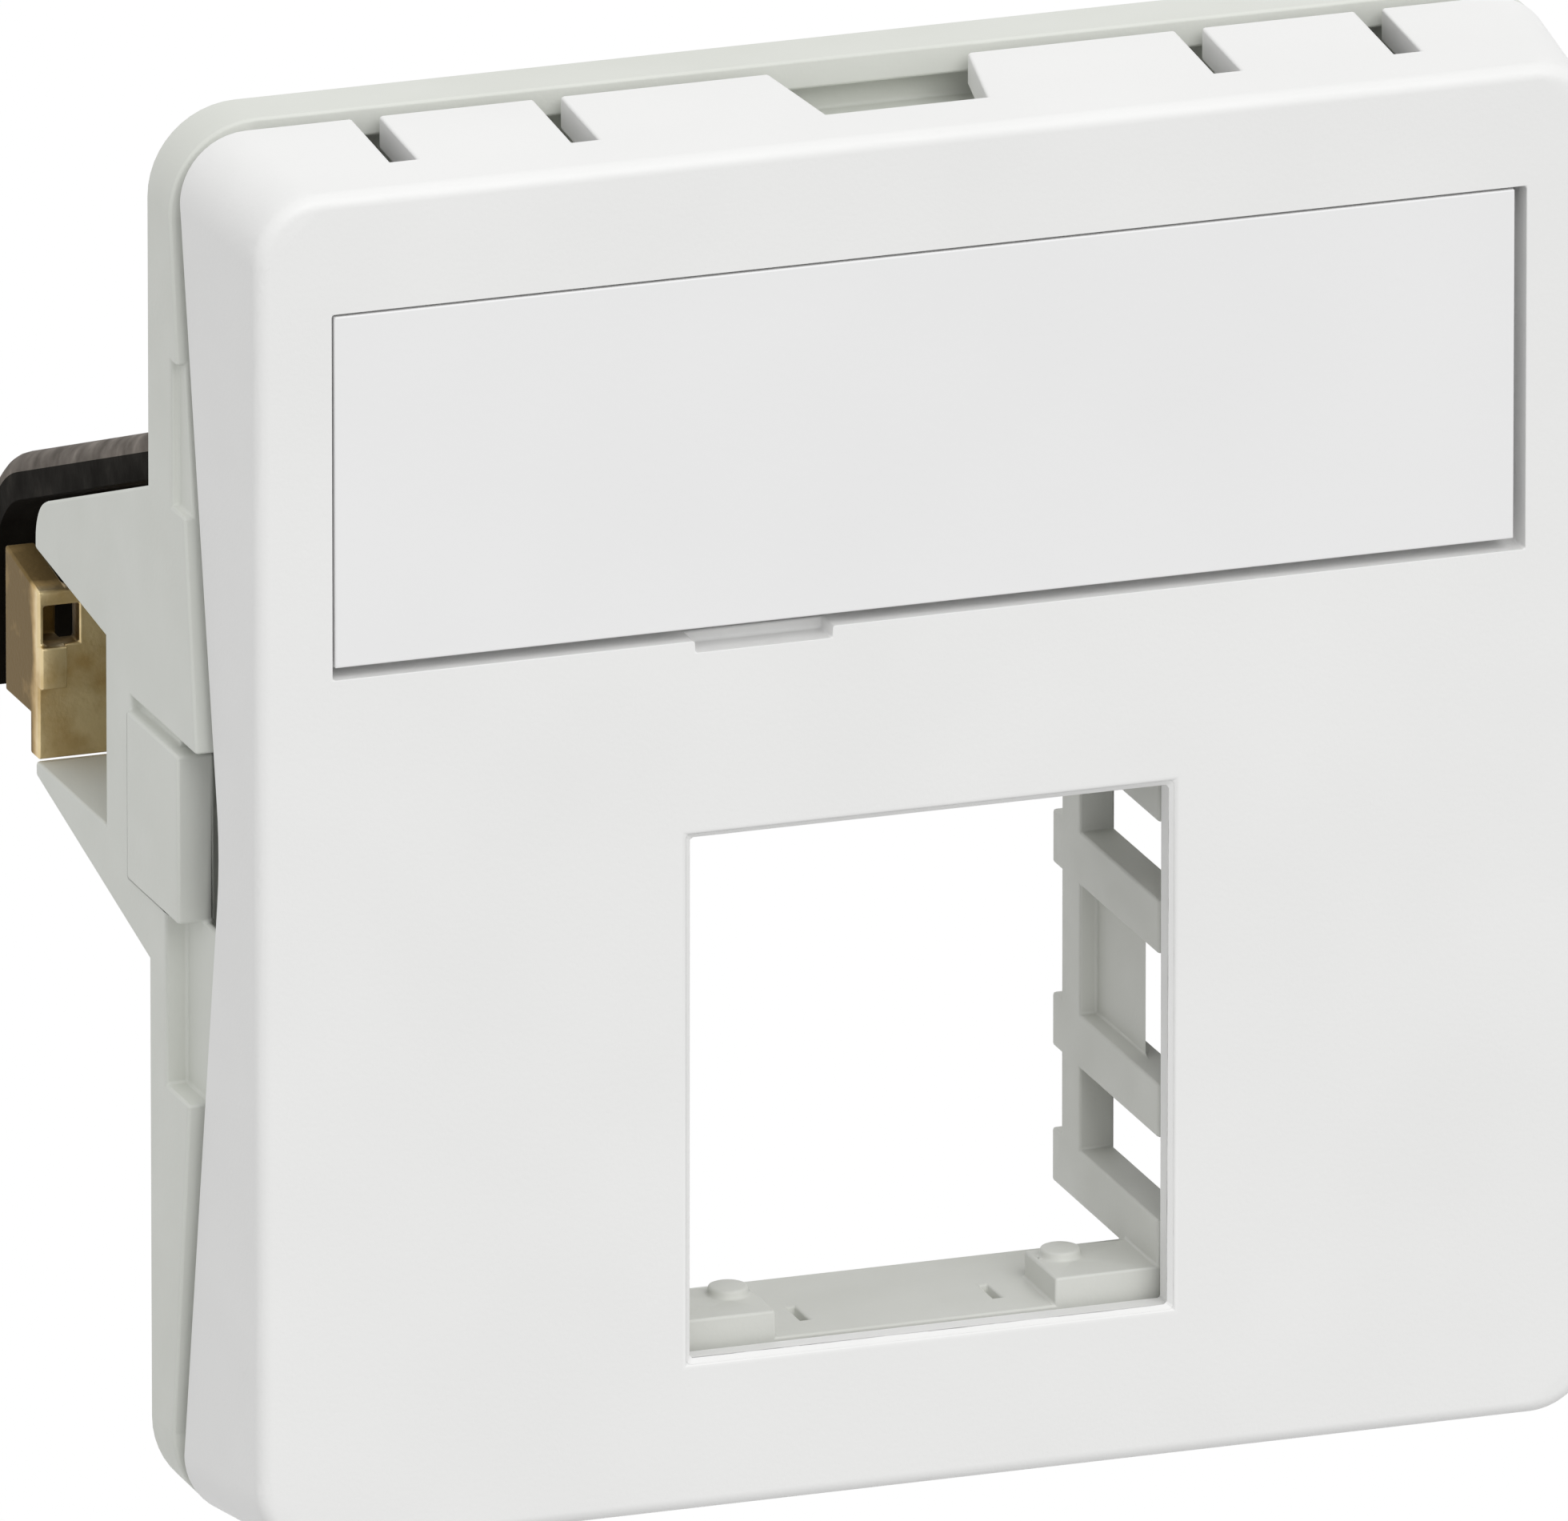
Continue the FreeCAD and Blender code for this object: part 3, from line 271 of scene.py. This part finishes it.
def zinc_plate(name, pale, dark):
    """Bright zinc with faint clouds, and fine tool marks under it."""
    material, tree, shader, place = new_material(name, {"Metallic": 1.0})
    cloud = add_node(tree, "TexNoise", {"Scale": 1 / (CLOUD_MM * MM), "Detail": 4.0}, place)
    colour = add_node(tree, "ValToRGB", {"stops": ((0.3, dark), (0.7, pale))}, {"Fac": cloud.outputs["Fac"]})
    rough = add_node(tree, "MapRange", {**NOISE_SPAN, "To Min": 0.28, "To Max": 0.42},
                     {"Value": cloud.outputs["Fac"]})
    marks = add_node(tree, "TexNoise", {"Scale": 1 / (TOOL_MARK_MM * MM), "Detail": 2.0}, place)
    bump = add_node(tree, "Bump", {"Strength": 0.35, "Distance": TOOL_MARK_DEPTH_MM * MM},
                    {"Height": marks.outputs["Fac"]})
    link_surface(tree, shader, colour, rough, bump)
    return material


# Zinc plated steel: bright, cool and a little cloudy.
screw_steel = zinc_plate("zinc_plated_screw_steel", "#D2D2CD", "#B4B6B4")
print("screw steel:", screw_steel.name)

# %% [markdown]
# ## Edges
#
# No moulded or stamped edge is quite sharp. A bevel on the solid itself would change the part, and shading
# alone would leave the outline sharp, so a copy of the solid's mesh is joined up, cleared of needless
# triangles and bevelled by the radius its making leaves: about a tenth of a millimetre from a mould or a
# tumbler, and more along a strap's rolled edge. The copy then stands for the solid and moves with its body.

# %% Copy a solid's mesh
JOIN_MM = 0.002
SLIVER_MM = 0.005
FLAT_DEGREES = 0.5


def select_only(piece):
    """Selects one piece and makes it the active one."""
    bpy.ops.object.select_all(action="DESELECT")
    piece.select_set(True)
    bpy.context.view_layer.objects.active = piece


def apply_modifier(piece, kind, **settings):
    """Adds a modifier with these settings and applies it."""
    select_only(piece)
    modifier = piece.modifiers.new(kind.title(), kind)
    for name, value in settings.items():
        setattr(modifier, name, value)
    bpy.ops.object.modifier_apply(modifier=modifier.name)


def joined_copy(node, name, seam_mm=None):
    """A copy of a solid's mesh, its vertices joined and its flat faces whole but for a seam across X."""
    piece = nodes[node].copy()
    piece.data = nodes[node].data.copy()
    piece.name = name
    piece.parent = None
    for key in [key for key in piece.keys() if key.startswith("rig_")]:
        del piece[key]
    bpy.context.scene.collection.objects.link(piece)
    select_only(piece)
    bpy.ops.object.mode_set(mode="EDIT")
    bpy.ops.mesh.select_all(action="SELECT")
    bpy.ops.mesh.remove_doubles(threshold=JOIN_MM * MM)
    bpy.ops.mesh.dissolve_degenerate(threshold=SLIVER_MM * MM)
    if seam_mm is not None:
        bpy.ops.mesh.bisect(plane_co=(seam_mm * MM, 0, 0), plane_no=(1, 0, 0))
        bpy.ops.mesh.mark_seam()
        bpy.ops.mesh.select_all(action="SELECT")
    bpy.ops.mesh.dissolve_limited(angle_limit=math.radians(FLAT_DEGREES), delimit={"SEAM"})
    bpy.ops.mesh.vert_connect_concave()
    bpy.ops.mesh.normals_make_consistent(inside=False)
    bpy.ops.object.mode_set(mode="OBJECT")
    return piece


print("vertices within", JOIN_MM, "mm are joined, and faces within", FLAT_DEGREES, "degrees made one")

# %% Choose the edges to round
COVER_FRONT, COVER_BACK = (corner.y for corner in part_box("front_cover"))
# Cosines of turns of about 150 and 35 degrees.
FOLD_COSINE, BEND_COSINE = -0.87, 0.82
REAR_SLACK_MM = 0.02
SLACK_MM = 0.05
FRONT_SHARE = 0.3
# A strap's rolled part lies beyond the first value, and its outer side beyond the second.
STRAP_SEAM_MM = 21.2
STRAP_OUTER_MM = 22.0
# How far one normal has to point sideways, and the other one upwards or back.
SIDEWAYS, UPWARDS = 0.9, 0.2


def is_sharp(first, second):
    """True for a turn of 35 to 150 degrees. What folds back further is a sliver of the mesh."""
    return FOLD_COSINE < first.dot(second) < BEND_COSINE


def every_sharp_edge(ends, first, second):
    """The rule for most pieces. Where the edge lies makes no difference."""
    return float(is_sharp(first, second))


def cover_edge(ends, first, second):
    """The rear edge stays crisp, and edges in the front face keep about a third of the radius."""
    if all(end.y > COVER_BACK - REAR_SLACK_MM * MM for end in ends):
        return 0.0
    in_front = all(end.y < COVER_FRONT + SLACK_MM * MM for end in ends)
    return every_sharp_edge(ends, first, second) * (FRONT_SHARE if in_front else 1.0)


def upper_outer_edge(ends, first, second):
    """The edges where a strap's outer side meets its upper or its rear face."""
    side, other = sorted((first, second), key=lambda normal: -abs(normal.x))
    beyond = all(abs(end.x) > STRAP_OUTER_MM * MM for end in ends)
    meets = abs(side.x) > SIDEWAYS and other.y + other.z > UPWARDS
    return float(beyond and is_sharp(first, second) and meets)


def inner_strap_edge(ends, first, second):
    """Sharp edges that don't reach a strap's rolled outer side."""
    within = all(abs(end.x) < (STRAP_SEAM_MM + SLACK_MM) * MM for end in ends)
    return float(is_sharp(first, second) and within)


print("cover from", round(COVER_FRONT / MM, 2), "to", round(COVER_BACK / MM, 2), "mm")

# %% Bevel, shade and dress a copy
BEND_DEGREES = 40


def round_edges(piece, radius_mm, segments=2, rule=every_sharp_edge, **settings):
    """Bevels the edges that a rule weighs by their two ends and the normals of their two faces."""
    mesh = piece.data
    normals = {}
    for face in mesh.polygons:
        for key in face.edge_keys:
            normals.setdefault(key, []).append(face.normal)
    name = "bevel_weight_edge"
    weights = mesh.attributes.get(name) or mesh.attributes.new(name, "FLOAT", "EDGE")
    for edge, weight in zip(mesh.edges, weights.data):
        ends = [mesh.vertices[index].co for index in edge.vertices]
        first, second = normals[edge.key]
        weight.value = rule(ends, first, second)
    apply_modifier(piece, "BEVEL", width=radius_mm * MM, segments=segments, limit_method="WEIGHT",
                   use_clamp_overlap=False, loop_slide=False, **settings)


def smooth_bends(piece):
    """Smooth shading round the bends, while large flat faces stay flat."""
    select_only(piece)
    bpy.ops.object.shade_smooth_by_angle(angle=math.radians(BEND_DEGREES))
    apply_modifier(piece, "WEIGHTED_NORMAL", mode="FACE_AREA", weight=80, keep_sharp=True)


def give_materials(piece, *materials):
    """The first material covers the piece, and a second one its bevelled edges."""
    piece.data.materials.clear()
    for material in materials:
        piece.data.materials.append(material)


def dress(piece, node, body):
    """The piece stands for the solid, which is hidden, and moves with its body."""
    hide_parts(node)
    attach(piece, body)
    print(piece.name, len(piece.data.polygons), "faces on", body)


print("bends up to", BEND_DEGREES, "degrees are shaded smooth")

# %% [markdown]
# ## Mouldings
#
# Cover, label, base and cage are each one moulding. Each could be modelled again from a cube, but the solids
# already have every rib and slot, so each is a bevelled copy. The base has the largest radius.

# %% Mould the plastic pieces
# Solid, piece, body, slot, material, radius in millimetres and the rule that chooses the edges.
MOULDINGS = (
    ("front_cover", "cover_shell", "cover", "cover_plastic", cover_plastic, 0.10, cover_edge),
    ("label_plate", "label_insert", "label", "label_plastic", label_plastic, 0.05, every_sharp_edge),
    ("base_frame", "base_moulding", "base", "frame_plastic", frame_plastic, 0.12, every_sharp_edge),
    # The cage's darker plastic is painted shade.
    ("connector_carrier", "carrier_cage", "base", "frame_plastic", cage_plastic_painted_shade, 0.10, every_sharp_edge),
)
for node, name, body, slot, material, radius, rule in MOULDINGS:
    moulding = joined_copy(node, name)
    give_materials(moulding, material)
    round_edges(moulding, radius, 2, rule)
    smooth_bends(moulding)
    dress(moulding, node, body)

# %% [markdown]
# ## Claws and bows
#
# Tumbling after the press leaves the brass with soft edges, given a paler brass that is partly rubbed metal
# and partly a painted highlight. The bow's upper outer edge is rolled round by about 0.6 millimetres, and a
# bevel with a paler material shows the band that runs along the strap: a painted highlight where the rolled
# edge reflects the lamp. A painted stripe without the bevel would not catch the light. The strap's rolled
# part is first divided from the rest by a seam, because the wide bevel would otherwise leave a spike at the
# strap's lower end.

# %% Stamp the claws and bend the bows
CLAW_RADIUS_MM = 0.09
BAND_MM = 0.62
BOW_RADIUS_MM = 0.08
for side, sign in (("left", -1), ("right", 1)):
    claw = joined_copy(f"claw_nut_{side}", f"brass_claw_{side}")
    # The paler brass on the bevelled edges is partly rubbing and partly a painted highlight.
    give_materials(claw, claw_brass, edge_brass_rubbed_and_glint)
    round_edges(claw, CLAW_RADIUS_MM, 3, material=1)
    smooth_bends(claw)
    dress(claw, f"claw_nut_{side}", f"nut_{side}")

    bow = joined_copy(f"claw_bow_{side}", f"steel_bow_{side}", sign * STRAP_SEAM_MM)
    # The paler second material on the rolled edge is a painted highlight.
    give_materials(bow, bow_steel, steel_painted_highlight)
    round_edges(bow, BAND_MM, 5, upper_outer_edge, material=1)
    round_edges(bow, BOW_RADIUS_MM, 2, inner_strap_edge)
    smooth_bends(bow)
    dress(bow, f"claw_bow_{side}", "base")

# %% [markdown]
# ## Screws
#
# A thread is one closed ridge, wound up along the axis by the Screw modifier. The head, the smooth neck and
# the swaged tail are turned from a profile in the same way, with no climb. The cross recess is cut with two
# bars. The thread could be a bump in the material, but then its outline would be straight. Neck, thread and
# tail lie inside the plain shank and tail of the solid.

# %% Set the screw's sizes
PITCH_MM = 0.5
THREAD_STEPS = 32
# Radii of the neck, the thread's core, its crest and the tail.
NECK_MM = 1.49
CORE_MM = 1.2
CREST_MM = 1.48
SWAGED_MM = 1.94
# The head's height, the depths where the neck ends and the thread starts, and the plain tail's length.
HEAD_MM = 1.7
NECK_END_MM = 5.0
THREAD_START_MM = 5.3
PLAIN_TAIL_MM = 1.4
# Half length, width and depth of the cross.
CROSS_MM = (1.5, 0.8, 0.9)
# Radius in millimetres and place along one pitch. The foot lies inside the core, so no gap shows.
THREAD_SHAPE = ((1.1, 0.03), (CREST_MM, 0.44), (CREST_MM, 0.56), (1.1, 0.97), (1.1, 0.03))


def screw_profile(head, tail, head_radius):
    """Radius and depth, in millimetres, of a screw's outline from its head's middle to its tail's."""
    rim = [(0, head), (head_radius - 0.4, head), (head_radius - 0.1, head + 0.1), (head_radius, head + 0.4)]
    under = head + HEAD_MM
    under_head = [(head_radius, under - 0.15), (head_radius - 0.1, under - 0.02), (NECK_MM, under)]
    shank = [(NECK_MM, NECK_END_MM), (CORE_MM, THREAD_START_MM), (CORE_MM, tail - PLAIN_TAIL_MM)]
    run_out = [(CREST_MM, tail - 1.1), (CREST_MM, tail - 0.6)]
    swaged = [(SWAGED_MM - 0.09, tail - 0.55), (SWAGED_MM, tail - 0.4), (SWAGED_MM - 0.09, tail - 0.1),
              (SWAGED_MM - 0.24, tail), (0, tail)]
    return rim + under_head + shank + run_out + swaged


print("thread of", PITCH_MM, "mm pitch on a core of", 2 * CORE_MM, "mm")

# %% Turn a profile
CREASE_DEGREES = 30


def turned(name, profile, turns=1, climb_mm=0.0, steps=48):
    """Winds a profile of (radius, depth) points in millimetres round the Y axis."""
    bpy.ops.object.select_all(action="DESELECT")
    bpy.ops.mesh.primitive_plane_add(size=MM)
    piece = bpy.context.object
    piece.name = name
    bpy.ops.object.mode_set(mode="EDIT")
    bpy.ops.mesh.select_mode(type="VERT")
    bpy.ops.mesh.select_all(action="SELECT")
    bpy.ops.mesh.merge(type="CENTER")
    points = [Vector((radius, depth, 0)) * MM for radius, depth in profile]
    bpy.ops.transform.translate(value=points[0])
    for start, end in zip(points, points[1:]):
        bpy.ops.mesh.extrude_vertices_move(TRANSFORM_OT_translate={"value": end - start})
    bpy.ops.object.mode_set(mode="OBJECT")
    apply_modifier(piece, "SCREW", axis="Y", screw_offset=climb_mm * MM, iterations=turns, steps=steps,
                   render_steps=steps)
    bpy.ops.object.mode_set(mode="EDIT")
    bpy.ops.mesh.select_all(action="SELECT")
    bpy.ops.mesh.remove_doubles(threshold=JOIN_MM * MM)
    bpy.ops.mesh.fill_holes(sides=0)
    bpy.ops.mesh.select_all(action="SELECT")
    bpy.ops.mesh.normals_make_consistent(inside=False)
    bpy.ops.object.mode_set(mode="OBJECT")
    bpy.ops.object.shade_smooth_by_angle(angle=math.radians(CREASE_DEGREES))
    print(name, "turned with", len(piece.data.polygons), "faces")
    return piece


# %% Cut the cross recess
def cut_cross(screw, head, reach_mm, width_mm, depth_mm):
    """Cuts a cross recess into a screw's head with two bars."""
    for across, up in ((reach_mm, width_mm / 2), (width_mm / 2, reach_mm)):
        bpy.ops.object.select_all(action="DESELECT")
        bpy.ops.mesh.primitive_cube_add(size=2)
        bar = bpy.context.object
        bpy.ops.object.mode_set(mode="EDIT")
        bpy.ops.mesh.select_all(action="SELECT")
        bpy.ops.transform.resize(value=(across * MM, depth_mm * MM, up * MM))
        bpy.ops.transform.translate(value=(0, head * MM, 0))
        bpy.ops.object.mode_set(mode="OBJECT")
        apply_modifier(screw, "BOOLEAN", object=bar, operation="DIFFERENCE", solver="EXACT")
        bpy.data.objects.remove(bar)
    print("cross of", 2 * reach_mm, "mm cut into", screw.name)


# %% Turn the screws
for side in ("left", "right"):
    low, high = (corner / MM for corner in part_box(f"claw_screw_{side}"))
    head, tail = low.y, high.y
    axis_x, axis_z = (low.x + high.x) / 2, (low.z + high.z) / 2
    head_radius = (high.x - low.x) / 2
    screw = turned(f"claw_screw_turned_{side}", screw_profile(head, tail, head_radius))
    cut_cross(screw, head, *CROSS_MM)
    turns = int((tail - PLAIN_TAIL_MM - THREAD_START_MM) / PITCH_MM)
    ridge = [(radius, THREAD_START_MM + part * PITCH_MM) for radius, part in THREAD_SHAPE]
    thread = turned(f"thread_{side}", ridge, turns, PITCH_MM, THREAD_STEPS)
    select_only(screw)
    thread.select_set(True)
    bpy.ops.object.join()
    bpy.ops.object.mode_set(mode="EDIT")
    bpy.ops.mesh.select_all(action="SELECT")
    bpy.ops.transform.translate(value=(axis_x * MM, 0, axis_z * MM))
    bpy.ops.object.mode_set(mode="OBJECT")
    give_materials(screw, screw_steel)
    dress(screw, f"claw_screw_{side}", f"screw_{side}")

# %% [markdown]
# ## Light and ground
#
# The top is the brightest face, then the front, then the left side, and seams are dark on the left. An even
# sky does most of that, with one wide soft lamp above the front, a little to the right. The ground lies well
# below, because a wall holds this piece up. It is grey to the light it sends back, so the underside isn't
# washed out, and white to the camera, where it still shows the shadow.

# %% Hang the lamp
LAMP_STRENGTH = 1.08
LAMP_SPREAD_DEGREES = 40
LAMP_DIRECTION = Vector((-0.12, 0.74, -0.66))
lamp = bpy.data.objects.new("Key", bpy.data.lights.new("Key", "SUN"))
bpy.context.scene.collection.objects.link(lamp)
lamp.data.energy = LAMP_STRENGTH
lamp.data.angle = math.radians(LAMP_SPREAD_DEGREES)
lamp.rotation_euler = LAMP_DIRECTION.to_track_quat("-Z", "Y").to_euler()
print("lamp strength", LAMP_STRENGTH, "spread over", LAMP_SPREAD_DEGREES, "degrees")

# %% Light the sky
SKY_STRENGTH = 0.775
WHITE = (1, 1, 1, 1)


def seen_directly(tree):
    """One for camera, mirror and see-through rays, nought for the light that surfaces scatter."""
    path = add_node(tree, "LightPath").outputs
    either = add_node(tree, "Math", {"operation": "MAXIMUM"},
                      {0: path["Is Camera Ray"], 1: path["Is Glossy Ray"]})
    any_ray = add_node(tree, "Math", {"operation": "MAXIMUM"},
                       {0: either.outputs[0], 1: path["Is Transmission Ray"]})
    return any_ray.outputs[0]


world = bpy.data.worlds.new("Studio")
bpy.context.scene.world = world
world.use_nodes = True
tree = world.node_tree
sky = tree.nodes["Background"]
sky.inputs["Color"].default_value = WHITE
sky.inputs["Strength"].default_value = SKY_STRENGTH
backdrop = add_node(tree, "Background", {"Color": WHITE, "Strength": 1.0})
mixed = add_node(tree, "MixShader", links={0: seen_directly(tree), 1: sky.outputs[0], 2: backdrop.outputs[0]})
tree.links.new(mixed.outputs[0], tree.nodes["World Output"].inputs["Surface"])
print("sky strength", SKY_STRENGTH)

# %% Lay the ground
GROUND_SIZE = 8
GROUND_DROP = 0.15
bpy.ops.object.select_all(action="DESELECT")
bpy.ops.mesh.primitive_plane_add(size=GROUND_SIZE, location=(0, 0, -GROUND_DROP))
floor = bpy.context.object
floor.name = "ground"
ground = bpy.data.materials.new("pale_paper_ground")
ground.use_nodes = True
tree = ground.node_tree
tree.nodes.remove(tree.nodes["Principled BSDF"])
dull = add_node(tree, "BsdfDiffuse", {"Color": linear("#C6C6C6")})
bright = add_node(tree, "BsdfDiffuse", {"Color": WHITE})
mixed = add_node(tree, "MixShader", links={0: seen_directly(tree), 1: dull.outputs[0], 2: bright.outputs[0]})
tree.links.new(mixed.outputs[0], tree.nodes["Material Output"].inputs["Surface"])
floor.data.materials.append(ground)
print("ground at", round(floor.location.z, 3))
